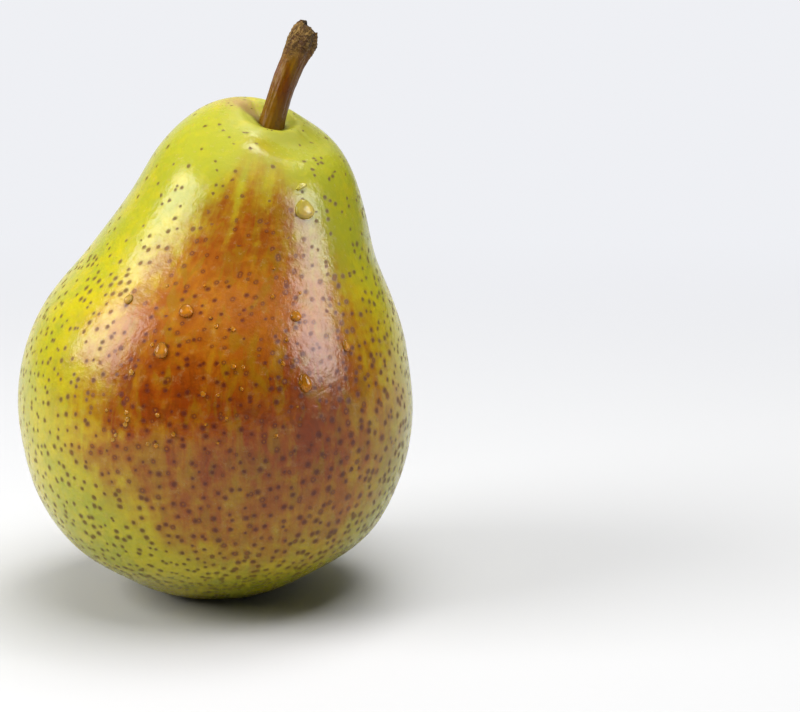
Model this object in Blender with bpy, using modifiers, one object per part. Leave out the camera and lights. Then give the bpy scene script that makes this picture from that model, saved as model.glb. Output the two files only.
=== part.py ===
"""A ripe pear standing on its eye end.

Three pieces: the fruit, its woody stem in a socket in the top hollow, and the dried eye in the basin
underneath. The fruit and the stem are both swept shapes: a round section grows and shrinks along a
bent core, and small lobes take it out of true. Metres, +Z up, and the table is at height zero.
"""

import math

import bmesh
import bpy
import numpy as np

MM = 0.001

# Driving dimensions
BELLY_RADIUS = 33.8 * MM
FRUIT_HEIGHT = 82.5 * MM  # table to the middle of the top hollow's rim
NECK_SHIFT = 8.9 * MM  # how far that rim stands to the side (+X) of the belly's middle
TOP_TILT = math.radians(25)  # how far the top hollow leans from level
TILT_TOWARD = math.radians(-45)  # the side that it faces, turned from +X
FIT_GAP = 0.3 * MM  # clear space between the flesh and what is set in it

# The fruit's outline from the eye basin up to the floor of the top hollow. Each ring has its radius
# as a share of the belly's, its height as a share of the fruit's, and its shares of shift and tilt.
FRUIT_OUTLINE = (
    (0.000, 0.056, 0.00, 0.00),  # floor of the eye basin
    (0.107, 0.051, 0.00, 0.00),
    (0.165, 0.030, 0.00, 0.00),  # wall of the basin
    (0.203, 0.008, 0.00, 0.00),
    (0.225, 0.000, 0.00, 0.00),  # inner edge of the flat ring that the fruit stands on
    (0.262, 0.000, 0.00, 0.00),  # and its outer edge
    (0.368, 0.017, 0.00, 0.00),
    (0.508, 0.047, 0.00, 0.00),
    (0.780, 0.127, 0.03, 0.00),
    (0.930, 0.239, 0.01, 0.00),
    (1.000, 0.377, 0.00, 0.00),  # belly
    (0.968, 0.498, 0.00, 0.00),
    (0.878, 0.608, 0.09, 0.05),
    (0.718, 0.717, 0.36, 0.13),  # waist, where the outline turns hollow
    (0.596, 0.814, 0.62, 0.22),
    (0.490, 0.904, 0.80, 0.41),  # neck
    (0.384, 0.955, 0.93, 0.66),  # shoulder
    (0.242, 0.985, 1.00, 1.00),
    (0.170, 0.993, 1.05, 1.00),  # rim of the top hollow
    (0.105, 0.979, 1.07, 0.95),  # floor, where the flesh meets the stem
    (0.000, 0.970, 1.07, 0.90),
)

# Lobes of the fruit: how many round the core, how deep as a share of the radius, and where one points
EYE_LOBES = (5, 0.022, math.radians(18))
BODY_LOBES = (3, 0.010, math.radians(100))
OVAL = (2, 0.006, math.radians(60))
EYE_LOBE_HEIGHT = 26 * MM  # the eye's lobes fade out by here
BODY_LOBE_START = 20 * MM  # and the body's have full depth from here up
LOBE_CORE = (8 * MM, 16 * MM)  # radii inside which the eye's and the body's lobes fade

# The stem's outline from its root up to the scar on its knob: radius, sideways place, depthwise place
# and height of each ring, and how far the ring tips to the side.
STEM_OUTLINE = (
    (0.00 * MM, 8.60 * MM, 0.0 * MM, 73.6 * MM, math.radians(8)),  # root in the flesh
    (1.50 * MM, 8.60 * MM, 0.0 * MM, 73.7 * MM, math.radians(8)),
    (1.95 * MM, 8.75 * MM, 0.0 * MM, 74.4 * MM, math.radians(9)),
    (2.05 * MM, 9.50 * MM, 0.0 * MM, 78.2 * MM, math.radians(12)),
    (1.98 * MM, 10.1 * MM, 0.1 * MM, 80.8 * MM, math.radians(14)),  # collar in the top hollow
    (1.86 * MM, 11.4 * MM, 0.2 * MM, 85.2 * MM, math.radians(17)),  # slimmest place
    (1.90 * MM, 12.5 * MM, 0.4 * MM, 88.2 * MM, math.radians(21)),
    (2.08 * MM, 13.5 * MM, 0.6 * MM, 90.8 * MM, math.radians(24)),
    (2.34 * MM, 14.4 * MM, 0.8 * MM, 92.8 * MM, math.radians(27)),
    (2.50 * MM, 15.2 * MM, 0.9 * MM, 94.4 * MM, math.radians(31)),  # widest place of the knob
    (2.42 * MM, 15.9 * MM, 1.0 * MM, 95.6 * MM, math.radians(37)),
    (2.00 * MM, 16.35 * MM, 1.0 * MM, 96.6 * MM, math.radians(43)),  # rim of the slanted scar
    (1.30 * MM, 16.3 * MM, 1.0 * MM, 96.3 * MM, math.radians(43)),
    (0.00 * MM, 16.1 * MM, 1.0 * MM, 95.9 * MM, math.radians(43)),  # floor of the scar
)
STEM_LOBES = ((3, 0.045, math.radians(35)), (5, 0.030, math.radians(80)))
BARK_HEIGHTS = (78.2 * MM, 85.2 * MM)  # the lobes of the stem grow from none to full between these
KNOB_HEIGHTS = (90.0 * MM, 95.5 * MM)  # and deepen between these by a further share
KNOB_LOBE_GAIN = 1.6
SOCKET_ROUNDING = 0.25  # how abruptly the socket's clear space begins at its ends
SOCKET_FLOOR = 0.25  # share of the stem's way over which the space below the root fades out

# The eye: a ring set in the basin's floor with five dried sepals that bend outwards
EYE_TOP = 7.4 * MM
EYE_ROOT_RADIUS = 2.5 * MM
EYE_MOUTH_RADIUS = 1.5 * MM
EYE_MOUTH_DEPTH = 2.6 * MM
EYE_MOUTH_LIP = 0.3 * MM  # height of the chamfer round the mouth
EYE_FLOOR_SHARE = 0.8  # radius of the mouth's floor as a share of the mouth's
EYE_HOLE_OVERRUN = 1.0 * MM  # how far below the table the cutter for the eye reaches
EYE_RIM_HEIGHT = 3.3 * MM
SEPALS = 5
SEPAL_HALF_WIDTH = 1.35 * MM
SEPAL_THICKNESS = 0.7 * MM
SEPAL_START_RADIUS = 1.9 * MM
SEPAL_START_HEIGHT = 4.3 * MM
SEPAL_TIP_SPREAD = 3.2 * MM
SEPAL_TIP_HEIGHT = 1.0 * MM
SEPAL_TAPER = 0.97  # share of the half width that is gone at the tip
SEPAL_BULGE = 0.55  # and the share added halfway
SEPAL_TROUGH = 0.25  # how deep its trough is, as a share of the half width
SEPAL_BEND = 1.6  # power of the length by which it goes outwards
SEPAL_UNEVEN_TURN = 0.15  # how far a sepal stands off its even place, in steps between sepals
SEPAL_UNEVEN_REACH = 0.12  # and how much longer or shorter than the others it is

# How finely the swept shapes are divided
FRUIT_SIDES = 60
STEM_SIDES = 20
RINGS_PER_SPAN = 3  # rings of faces between two points of an outline
EYE_SIDES = 24
SEPAL_COLUMNS = 5
SEPAL_ROWS = 7
SHARP_EDGE = math.radians(50)  # edges that bend more than this are drawn sharp
SNAP = 1e-6  # a share this close below an outline's point counts as on it

SKIN_YELLOW_GREEN = (0.52, 0.47, 0.05)
STEM_BROWN = (0.16, 0.065, 0.012)
EYE_BROWN = (0.045, 0.022, 0.010)


def clear_scene():
    for item in list(bpy.data.objects):
        bpy.data.objects.remove(item, do_unlink=True)


def collection(name):
    made = bpy.data.collections.new(name)
    bpy.context.scene.collection.children.link(made)
    return made


def finish(name, colour, roughness):
    """A plain Principled material in the piece's main colour."""
    material = bpy.data.materials.new(name)
    material.use_nodes = True
    shader = material.node_tree.nodes["Principled BSDF"]
    shader.inputs["Base Color"].default_value = (*colour, 1.0)
    shader.inputs["Roughness"].default_value = roughness
    shader.inputs["Metallic"].default_value = 0.0
    return material


def smooth_rise(value, start, end):
    """0 below start, 1 above end, and an even S between them."""
    share = np.clip((value - start) / (end - start), 0.0, 1.0)
    return share * share * (3.0 - 2.0 * share)


def along_outline(points, shares):
    """Rows of a smooth curve through the outline's points, at shares 0 to 1 of its way.

    A Catmull-Rom curve: each point's slope comes from its two neighbours, and the steps between
    points go by the square root of their distance, so that tight turns don't overshoot. Every span
    between two points has an even part of the way.
    """
    rows = np.asarray(points, float)
    steps = np.sqrt(np.linalg.norm(np.diff(rows, axis=0), axis=1))
    knots = np.concatenate(([0.0], np.cumsum(steps)))
    before = np.maximum(np.arange(len(rows)) - 1, 0)
    after = np.minimum(np.arange(len(rows)) + 1, len(rows) - 1)
    slopes = (rows[after] - rows[before]) / (knots[after] - knots[before])[:, None]
    place = np.asarray(shares, float) * (len(rows) - 1)
    first = np.clip(np.floor(place + SNAP).astype(int), 0, len(rows) - 2)
    span = (knots[first + 1] - knots[first])[:, None]
    t = np.clip(place - first, 0.0, 1.0)[:, None]
    return (
        (1 + 2 * t) * (1 - t) ** 2 * rows[first]
        + t * (1 - t) ** 2 * span * slopes[first]
        + t * t * (3 - 2 * t) * rows[first + 1]
        - t * t * (1 - t) * span * slopes[first + 1]
    )


def lobe(kind, turn):
    """Share by which one set of lobes widens a section at the angle turn round the core."""
    count, depth, toward = kind
    return depth * np.cos(count * (turn - toward))


def fruit_surface(turn, share):
    """Points of the fruit's skin at angles round the core and shares of the way from eye to stem.

    The section at each share is a circle with lobes, shifted to the side with the bent core and
    tipped towards the side that the top faces. Nothing reaches below the table.
    """
    sizes = np.array([BELLY_RADIUS, FRUIT_HEIGHT, NECK_SHIFT, TOP_TILT])
    radius, height, shift, tilt = along_outline(np.array(FRUIT_OUTLINE) * sizes, share).T
    eye_core, body_core = LOBE_CORE
    near_eye = np.clip(1 - height / EYE_LOBE_HEIGHT, 0, 1) ** 2 * np.clip(radius / eye_core, 0, 1)
    on_body = np.clip(height / BODY_LOBE_START, 0, 1) * np.clip(radius / body_core, 0, 1)
    out = radius * (
        1
        + near_eye * lobe(EYE_LOBES, turn)
        + on_body * lobe(BODY_LOBES, turn)
        + lobe(OVAL, turn)
    )
    toward = out * np.cos(turn - TILT_TOWARD)
    drawn_in = toward * (1 - np.cos(tilt))
    x = shift + out * np.cos(turn) - drawn_in * math.cos(TILT_TOWARD)
    y = out * np.sin(turn) - drawn_in * math.sin(TILT_TOWARD)
    z = height - toward * np.sin(tilt)
    return np.stack((x, y, np.maximum(z, 0.0)), axis=-1)


def stem_surface(turn, share, growth=0.0):
    """Points of the stem's bark, as fruit_surface, with the root grown outwards and down by growth."""
    radius, x, y, z, tilt = along_outline(STEM_OUTLINE, share).T
    ridges = sum(lobe(kind, turn) for kind in STEM_LOBES) * smooth_rise(z, *BARK_HEIGHTS)
    knob = 1 + KNOB_LOBE_GAIN * smooth_rise(z, *KNOB_HEIGHTS)
    out = radius * (1 + ridges * knob) + growth * np.sin(np.pi * share) ** SOCKET_ROUNDING
    z = z - growth * (1 - smooth_rise(share, 0.0, SOCKET_FLOOR))
    side = out * np.cos(turn)
    return np.stack((x + side * np.cos(tilt), y + out * np.sin(turn), z - side * np.sin(tilt)), axis=-1)


def swept_mesh(name, surface, sides, rings):
    """A sphere whose points are moved onto a surface of two parameters: the angle round it, and the
    share of the way from its lower pole to its upper one."""
    shape = bmesh.new()
    bmesh.ops.create_uvsphere(shape, u_segments=sides, v_segments=rings, radius=1.0)
    ball = np.array([vertex.co for vertex in shape.verts])
    turn = np.arctan2(ball[:, 1], ball[:, 0])
    share = 1 - np.arccos(np.clip(ball[:, 2], -1, 1)) / np.pi
    for vertex, place in zip(shape.verts, surface(turn, share)):
        vertex.co = place
    mesh = bpy.data.meshes.new(name)
    shape.to_mesh(mesh)
    shape.free()
    return mesh


def place(name, mesh, group, material=None):
    piece = bpy.data.objects.new(name, mesh)
    group.objects.link(piece)
    if material:
        mesh.materials.append(material)
        mesh.shade_smooth()
        mesh.set_sharp_from_angle(angle=SHARP_EDGE)
    return piece


def cut(piece, cutter):
    """Takes the cutter's shape out of the piece, and keeps the cutter as a guide only."""
    cutter.hide_render = True
    cutter.display_type = "WIRE"
    modifier = piece.modifiers.new(f"{cutter.name}_cut", "BOOLEAN")
    modifier.operation = "DIFFERENCE"
    modifier.solver = "EXACT"
    modifier.object = cutter


def turned_mesh(name, profile, steps):
    """A closed solid turned about +Z from (radius, height) points that start and end on the axis."""
    shape = bmesh.new()
    points = [shape.verts.new((radius, 0.0, height)) for radius, height in profile]
    edges = [shape.edges.new(pair) for pair in zip(points, points[1:])]
    bmesh.ops.spin(
        shape, geom=points + edges, axis=(0, 0, 1), cent=(0, 0, 0), angle=2 * math.pi, steps=steps
    )
    bmesh.ops.remove_doubles(shape, verts=shape.verts, dist=0.00001)
    bmesh.ops.recalc_face_normals(shape, faces=shape.faces)
    mesh = bpy.data.meshes.new(name)
    shape.to_mesh(mesh)
    shape.free()
    return mesh


def eye_ring_profile():
    """Outer wall of the eye's ring, down to its rim, and back up inside its open mouth."""
    floor = EYE_RIM_HEIGHT + EYE_MOUTH_DEPTH
    return (
        (0.0, EYE_TOP),
        (EYE_ROOT_RADIUS, EYE_TOP),
        (EYE_ROOT_RADIUS, SEPAL_START_HEIGHT),
        (0.5 * (EYE_ROOT_RADIUS + EYE_MOUTH_RADIUS), EYE_RIM_HEIGHT),
        (EYE_MOUTH_RADIUS, EYE_RIM_HEIGHT + EYE_MOUTH_LIP),
        (EYE_FLOOR_SHARE * EYE_MOUTH_RADIUS, floor),
        (0.0, floor),
    )


def sepal_mesh(number):
    """One dried sepal: a pointed blade that hangs from the ring and bends out to its tip.

    Along its length it goes out by a growing share of its spread while it drops, and across its
    width it is a shallow trough. The blade tapers to its tip as a square-root arch.
    """
    shape = bmesh.new()
    bmesh.ops.create_grid(shape, x_segments=SEPAL_COLUMNS - 1, y_segments=SEPAL_ROWS - 1, size=1.0)
    facing = 2 * math.pi * (number + SEPAL_UNEVEN_TURN * math.sin(3 * number)) / SEPALS
    reach = SEPAL_TIP_SPREAD * (1 + SEPAL_UNEVEN_REACH * math.cos(2 * number))
    drop = SEPAL_START_HEIGHT - SEPAL_TIP_HEIGHT
    for vertex in shape.verts:
        across, along = vertex.co.x, 0.5 * (vertex.co.y + 1)
        taper = math.sqrt(1 - SEPAL_TAPER * along)
        half = SEPAL_HALF_WIDTH * (taper + SEPAL_BULGE * math.sin(math.pi * along))
        trough = SEPAL_TROUGH * half * across * across
        out = SEPAL_START_RADIUS + reach * along**SEPAL_BEND - trough
        aside = half * across
        vertex.co = (
            out * math.cos(facing) - aside * math.sin(facing),
            out * math.sin(facing) + aside * math.cos(facing),
            SEPAL_START_HEIGHT - drop * math.sin(0.5 * math.pi * along),
        )
    mesh = bpy.data.meshes.new(f"sepal_{number}")
    shape.to_mesh(mesh)
    shape.free()
    return mesh


def make_sepal(number, group):
    blade = place(f"sepal_{number}", sepal_mesh(number), group)
    thicken = blade.modifiers.new("thickness", "SOLIDIFY")
    thicken.thickness = SEPAL_THICKNESS
    thicken.offset = 0.0
    return blade


def stem_rings():
    return RINGS_PER_SPAN * (len(STEM_OUTLINE) - 1)


def make_fruit(parts, cutters):
    rings = RINGS_PER_SPAN * (len(FRUIT_OUTLINE) - 1)
    mesh = swept_mesh("fruit", fruit_surface, FRUIT_SIDES, rings)
    fruit = place("fruit", mesh, parts, finish("pear_skin", SKIN_YELLOW_GREEN, 0.35))
    socket = swept_mesh(
        "stem_socket", lambda turn, share: stem_surface(turn, share, FIT_GAP), STEM_SIDES, stem_rings()
    )
    cut(fruit, place("stem_socket", socket, cutters))
    eye_hole = (
        (0.0, EYE_TOP + FIT_GAP),
        (EYE_ROOT_RADIUS + FIT_GAP, EYE_TOP + FIT_GAP),
        (EYE_ROOT_RADIUS + FIT_GAP, -EYE_HOLE_OVERRUN),
        (0.0, -EYE_HOLE_OVERRUN),
    )
    cut(fruit, place("eye_hole", turned_mesh("eye_hole", eye_hole, EYE_SIDES), cutters))
    return fruit


def make_stem(parts):
    mesh = swept_mesh("stem", stem_surface, STEM_SIDES, stem_rings())
    return place("stem", mesh, parts, finish("stem_bark", STEM_BROWN, 0.6))


def make_eye(parts, shapes):
    """The ring and its sepals, joined into one body."""
    ring = place("eye_ring", turned_mesh("eye_ring", eye_ring_profile(), EYE_SIDES), shapes)
    for number in range(SEPALS):
        make_sepal(number, shapes)
    shapes.objects.unlink(ring)
    parts.objects.link(ring)
    join = ring.modifiers.new("sepals_joined", "BOOLEAN")
    join.operation = "UNION"
    join.solver = "EXACT"
    join.operand_type = "COLLECTION"
    join.collection = shapes
    bpy.context.view_layer.update()
    evaluated = ring.evaluated_get(bpy.context.evaluated_depsgraph_get())
    joined = bpy.data.meshes.new_from_object(evaluated)
    joined.name = "calyx"
    for shape in [ring, *shapes.objects]:
        bpy.data.objects.remove(shape, do_unlink=True)
    bpy.data.collections.remove(shapes)
    return place("calyx", joined, parts, finish("dried_sepals", EYE_BROWN, 0.8))


def centre_over_origin(pieces, guides):
    """Moves everything sideways so that the fruit's widest reach is centred over the origin."""
    fruit = pieces[0]
    places = np.array([vertex.co for vertex in fruit.data.vertices])
    middle = 0.5 * (places.min(axis=0) + places.max(axis=0))
    for item in [*pieces, *guides]:
        item.location = (-middle[0], -middle[1], 0.0)


def main():
    clear_scene()
    parts = collection("pear")
    cutters = collection("pear_cutters")
    fruit = make_fruit(parts, cutters)
    stem = make_stem(parts)
    eye = make_eye(parts, collection("pear_eye_shapes"))
    centre_over_origin([fruit, stem, eye], list(cutters.objects))


main()
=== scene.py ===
"""A ripe blushed pear with its woody stem, its dried eye and drops of water on its skin.

Every new piece is a surface worked out with numpy: a function of the angle round a core (turn) and of
the way along it (share), in metres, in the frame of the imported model.
"""

import math

import bpy
import numpy as np
from bpy.props import FloatProperty, FloatVectorProperty, IntProperty, PointerProperty
from bpy.types import Operator, Panel, PropertyGroup
from mathutils import Matrix, Vector


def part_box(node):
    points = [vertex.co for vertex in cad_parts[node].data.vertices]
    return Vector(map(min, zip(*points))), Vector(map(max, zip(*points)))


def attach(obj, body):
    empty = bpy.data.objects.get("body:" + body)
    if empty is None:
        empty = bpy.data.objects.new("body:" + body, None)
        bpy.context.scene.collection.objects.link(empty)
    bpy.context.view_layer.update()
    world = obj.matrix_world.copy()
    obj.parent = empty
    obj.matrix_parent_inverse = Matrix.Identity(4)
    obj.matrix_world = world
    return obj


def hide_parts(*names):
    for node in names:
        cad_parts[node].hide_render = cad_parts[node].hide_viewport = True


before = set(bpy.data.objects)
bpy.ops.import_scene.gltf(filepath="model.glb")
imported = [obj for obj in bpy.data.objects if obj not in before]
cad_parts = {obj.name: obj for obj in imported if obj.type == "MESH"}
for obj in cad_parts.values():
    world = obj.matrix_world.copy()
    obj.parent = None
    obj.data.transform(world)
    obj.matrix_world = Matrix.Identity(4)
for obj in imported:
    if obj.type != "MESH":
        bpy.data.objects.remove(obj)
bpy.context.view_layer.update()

bl_info = {
    "name": "Blushed pear",
    "version": (1, 0, 0),
    "blender": (4, 5, 0),
    "location": "3D View > Sidebar > Pear",
    "description": "Skin, stem, eye and water drops of a ripe pear",
    "category": "Add Mesh",
}

# Driving sizes, from the frame. The fruit's outline below is in shares of the first four.
FRUIT_LOW, FRUIT_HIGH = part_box("fruit")
MM = (FRUIT_HIGH.z - FRUIT_LOW.z) / 84.70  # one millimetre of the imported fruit, in metres
BELLY_RADIUS = 33.8 * MM
FRUIT_HEIGHT = 82.5 * MM
NECK_SHIFT = 8.9 * MM
TOP_TILT = math.radians(25)
TILT_TOWARD = math.radians(-45)

# Rings of the fruit from the eye basin to the floor of the top hollow: radius, height, shift, tilt
FRUIT_OUTLINE = (
    (0.000, 0.056, 0.00, 0.00),
    (0.107, 0.051, 0.00, 0.00),
    (0.165, 0.030, 0.00, 0.00),
    (0.203, 0.008, 0.00, 0.00),
    (0.225, 0.000, 0.00, 0.00),  # ring that it stands on
    (0.262, 0.000, 0.00, 0.00),
    (0.368, 0.017, 0.00, 0.00),
    (0.508, 0.047, 0.00, 0.00),
    (0.780, 0.127, 0.03, 0.00),
    (0.930, 0.239, 0.01, 0.00),
    (1.000, 0.377, 0.00, 0.00),  # belly
    (0.968, 0.498, 0.00, 0.00),
    (0.878, 0.608, 0.09, 0.05),
    (0.718, 0.717, 0.36, 0.13),
    (0.596, 0.814, 0.62, 0.22),
    (0.490, 0.904, 0.80, 0.41),  # neck
    (0.384, 0.955, 0.93, 0.66),
    (0.242, 0.985, 1.00, 1.00),
    (0.170, 0.993, 1.05, 1.00),  # rim of the top hollow
    (0.105, 0.979, 1.07, 0.95),
    (0.000, 0.970, 1.07, 0.90),
)
EYE_LOBES = (5, 0.022, math.radians(18))
BODY_LOBES = (3, 0.010, math.radians(100))
OVAL = (2, 0.006, math.radians(60))
EYE_LOBE_HEIGHT = 26 * MM
BODY_LOBE_START = 20 * MM
LOBE_CORE = (8 * MM, 16 * MM)

# Rings of the stem, root to scar: radius, x, y and height in millimetres, and lean in degrees
STEM_OUTLINE = (
    (0.00, 8.60, 0.0, 73.6, 8),
    (1.50, 8.60, 0.0, 73.7, 8),
    (1.95, 8.75, 0.0, 74.4, 9),
    (2.05, 9.50, 0.0, 78.2, 12),
    (1.98, 10.1, 0.1, 80.8, 14),
    (1.86, 11.4, 0.2, 85.2, 17),
    (1.90, 12.5, 0.4, 88.2, 21),
    (2.04, 13.6, 0.6, 90.8, 24),
    (2.22, 14.55, 0.8, 92.8, 27),
    (2.36, 15.3, 0.9, 94.3, 31),
    (2.12, 15.95, 1.0, 95.6, 37),
    (1.55, 16.45, 1.0, 96.6, 43),
    (0.95, 16.30, 1.0, 96.2, 43),
    (0.00, 15.9, 1.0, 95.4, 43),
)
STEM_LOBES = ((3, 0.045, math.radians(35)), (5, 0.030, math.radians(80)))

# The blush on the skin: height in millimetres, turns of its left and right edge in degrees, strength
BLUSH = (
    (4, -88, -45, 0.00),
    (10, -92, -34, 0.30),
    (14, -99, -34, 0.52),
    (20, -109, -28, 0.74),
    (26, -117, -26, 0.82),
    (32, -124, -25, 0.90),
    (38, -125, -26, 0.98),
    (44, -125, -29, 1.00),
    (50, -125, -34, 1.00),
    (56, -122, -43, 1.00),
    (62, -118, -50, 0.92),
    (68, -110, -58, 0.70),
    (74, -104, -68, 0.36),
    (80, -98, -76, 0.00),
)
# Width of the blush's edge in degrees, by height in millimetres
BLUSH_FADE = ((4, 20), (20, 17), (26, 26), (34, 32), (50, 30), (62, 26), (80, 16))
# Streaks down the neck: turn, half width in degrees, lowest and highest height, and what each adds
STREAKS = (
    (-98, 2.6, 58, 75, 0.16),
    (-93, 1.8, 60, 76, -0.22),
    (-87, 1.7, 57, 73, 0.35),
    (-80, 2.2, 60, 76, -0.18),
    (-72, 2.4, 60, 73, 0.16),
)
# How deep the blush is, and how far apart the lenticels lie in millimetres, by height in millimetres
BLUSH_DEPTH = ((8, 0.3), (20, 0.4), (30, 0.8), (42, 0.9), (50, 0.45), (58, 0.35), (64, 0.6), (70, 0.6), (76, 0.3))
DOT_SPACING = ((3, 1.5), (12, 1.7), (24, 2.0), (50, 2.2), (62, 2.7), (76, 3.4))
# Folds in the skin by the stem, in millimetres and degrees: how far they stand out, the way they
# face from the stem, their spread round it, their distance from it and their width
FOLDS = (
    (-0.40, 152, 30, 4.6, 2.6),
    (0.85, -163, 36, 3.4, 2.3),
    (-0.25, -142, 34, 7.0, 2.2),
    (-0.50, -165, 22, 2.2, 0.9),
    (0.40, -8, 48, 3.6, 2.0),
    (-0.25, 126, 8, 4.2, 2.4),
    (-0.28, -16, 7, 5.0, 2.2),
    (-0.16, 30, 9, 4.6, 2.2),
    (0.15, -80, 28, 4.2, 1.8),
)
# Where the stem leaves the fruit, in millimetres: along x before the fruit is moved, and x and y after
CORE_FOOT = 9.9
STEM_FOOT = (9.84, -0.29)
KNOLL = (7.6, -10.2, 4.0)  # place and width of a low knoll on the front shoulder, in millimetres
KNOLL_HEIGHT = 0.75  # in millimetres
CELLS = 97  # lenticel cells round the fruit
SEAM = math.pi / 2  # turn at which the skin's grid closes, at the back
SEAM_GAP = 0.004  # share of the turn beside the seam that holds no lenticels
RINGED = 0.3  # share of the lenticels in the blush that have a pale core

# The eye's ring from its root to the floor of its mouth: radius and height in millimetres
EYE_PROFILE = (
    (0.3, 7.3), (2.3, 7.3), (2.5, 5.8), (2.5, 4.3), (2.15, 3.5), (1.75, 3.35), (1.5, 3.7), (1.25, 5.2), (0.2, 5.9)
)
SEPALS = 5
STAMENS = 14
GOLDEN_ANGLE = 2.399  # in radians, spreads the threads evenly

# Drops of water: turn in degrees, height, width, length and thickness in millimetres, lean in degrees
DROPS = (
    (-57.5, 68.4, 3.4, 3.4, 0.8, 0),
    (-58.5, 71.9, 2.3, 1.0, 0.5, 20),
    (-120.6, 55.0, 1.4, 1.8, 0.6, -15),
    (-98.7, 53.9, 2.3, 2.4, 0.75, 10),
    (-102.5, 48.1, 2.2, 2.8, 0.8, 0),
    (-61.0, 52.6, 1.9, 1.9, 0.65, 5),
    (-43.5, 47.0, 1.3, 2.0, 0.55, 0),
    (-59.5, 42.4, 2.0, 3.2, 0.75, 8),
)
DROP_SEED = 11  # for the places of the fine drops

CAMERA_TARGET = (31.4 * MM, 0.0, 40.75 * MM)
CAMERA_DISTANCE = 381.2 * MM
CAMERA_RISE = math.radians(12)
CAMERA_LENS = 100  # focal length and sensor width, in the camera's own millimetres
CAMERA_SENSOR = 36
FLOOR_REACH = 8.0  # half the floor's side, in metres
LIGHT_AIM = (0.0, 0.0, 45 * MM)
# Area lights: name, turn and rise in degrees, distance and size in metres, and the setting with its power
SOFTBOXES = (
    ("left_softbox", -72.5, 34, 0.75, (0.50, 0.43), "left_light"),
    ("right_softbox", 70, 26, 0.75, (0.32, 0.47), "right_light"),
    ("right_fill", 60, 80, 0.75, (0.60, 0.60), "right_fill"),
    ("top_softbox", 147, 67, 0.80, (0.28, 0.28), "top_light"),
)
BLACK = (0.0, 0.0, 0.0)


def smooth_rise(value, start, end):
    """0 at start, 1 at end, and an even S between them."""
    share = np.clip((value - start) / (end - start), 0.0, 1.0)
    return share * share * (3.0 - 2.0 * share)


def hill(value, middle, width):
    """A bell of height 1 at the middle, down to a third at one width from it."""
    return np.exp(-(((value - middle) / width) ** 2))


def around(angle, middle, width):
    """A bell over angles in degrees that takes the short way round."""
    return hill((angle - middle + 180) % 360 - 180, 0.0, width)


def by_height(table, height):
    """The value at a height, on straight lines through a table's pairs of height and value."""
    heights, values = np.array(table, float).T
    return np.interp(height, heights, values)


def along_outline(points, shares):
    """Columns of a smooth curve through the outline's points, each span an even part of the way.

    Catmull-Rom: each point's slope comes from its two neighbours, and a step between two points
    counts as the square root of its length.
    """
    rows = np.asarray(points, float)
    steps = np.sqrt(np.linalg.norm(np.diff(rows, axis=0), axis=1))
    knots = np.concatenate(([0.0], np.cumsum(steps)))
    before = np.maximum(np.arange(len(rows)) - 1, 0)
    after = np.minimum(np.arange(len(rows)) + 1, len(rows) - 1)
    slopes = (rows[after] - rows[before]) / (knots[after] - knots[before])[:, None]
    place = np.asarray(shares, float) * (len(rows) - 1)
    first = np.clip(np.floor(place + 1e-6).astype(int), 0, len(rows) - 2)
    span = (knots[first + 1] - knots[first])[..., None]
    t = np.clip(place - first, 0.0, 1.0)[..., None]
    curve = (
        (1 + 2 * t) * (1 - t) ** 2 * rows[first]
        + t * (1 - t) ** 2 * span * slopes[first]
        + t * t * (3 - 2 * t) * rows[first + 1]
        - t * t * (1 - t) * span * slopes[first + 1]
    )
    return np.moveaxis(curve, -1, 0)


def even_shares(points, count):
    """Shares that step along an outline by even lengths of its first two columns' curve."""
    dense = np.linspace(0.0, 1.0, 4000)
    radius, height = along_outline(points, dense)[:2]
    way = np.concatenate(([0.0], np.cumsum(np.hypot(np.diff(radius), np.diff(height)))))
    return np.interp(np.linspace(0.0, way[-1], count), way, dense)


def lobe(kind, turn):
    """Share of the radius that one set of lobes adds at an angle round the core."""
    count, depth, toward = kind
    return depth * np.cos(count * (turn - toward))


def fruit_point(turn, share):
    """The skin's points before its fine relief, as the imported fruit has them.

    The section at each share is a circle with lobes, shifted sideways with the bent core and tipped
    towards the side that the top faces. Nothing reaches below the table.
    """
    sizes = np.array([BELLY_RADIUS, FRUIT_HEIGHT, NECK_SHIFT, TOP_TILT])
    radius, height, shift, tilt = along_outline(np.array(FRUIT_OUTLINE) * sizes, share)
    eye_core, body_core = LOBE_CORE
    near_eye = np.clip(1 - height / EYE_LOBE_HEIGHT, 0, 1) ** 2 * np.clip(radius / eye_core, 0, 1)
    on_body = np.clip(height / BODY_LOBE_START, 0, 1) * np.clip(radius / body_core, 0, 1)
    out = radius * (
        1 + near_eye * lobe(EYE_LOBES, turn) + on_body * lobe(BODY_LOBES, turn) + lobe(OVAL, turn)
    )
    toward = out * np.cos(turn - TILT_TOWARD)
    drawn_in = toward * (1 - np.cos(tilt))
    x = shift + out * np.cos(turn) - drawn_in * math.cos(TILT_TOWARD)
    y = out * np.sin(turn) - drawn_in * math.sin(TILT_TOWARD)
    z = height - toward * np.sin(tilt)
    return np.stack((x, y, np.maximum(z, 0.0)), axis=-1)


def fruit_centre():
    """Where the middle of the fruit's reach stands before it is moved over the origin."""
    turn = np.radians(np.arange(0, 360, 6))[None, :]
    share = np.linspace(0, 1, 3 * (len(FRUIT_OUTLINE) - 1) + 1)[:, None]
    places = fruit_point(turn, share).reshape(-1, 3)
    middle = 0.5 * (places.min(axis=0) + places.max(axis=0))
    return np.array([middle[0], middle[1], 0.0])


def grid_normals(points):
    """Unit normals of a grid of points whose columns close into a ring."""
    down = np.gradient(points, axis=0)
    across = np.roll(points, -1, axis=1) - np.roll(points, 1, axis=1)
    normal = np.cross(across, down)
    return normal / np.maximum(np.linalg.norm(normal, axis=-1, keepdims=True), 1e-12)


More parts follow.
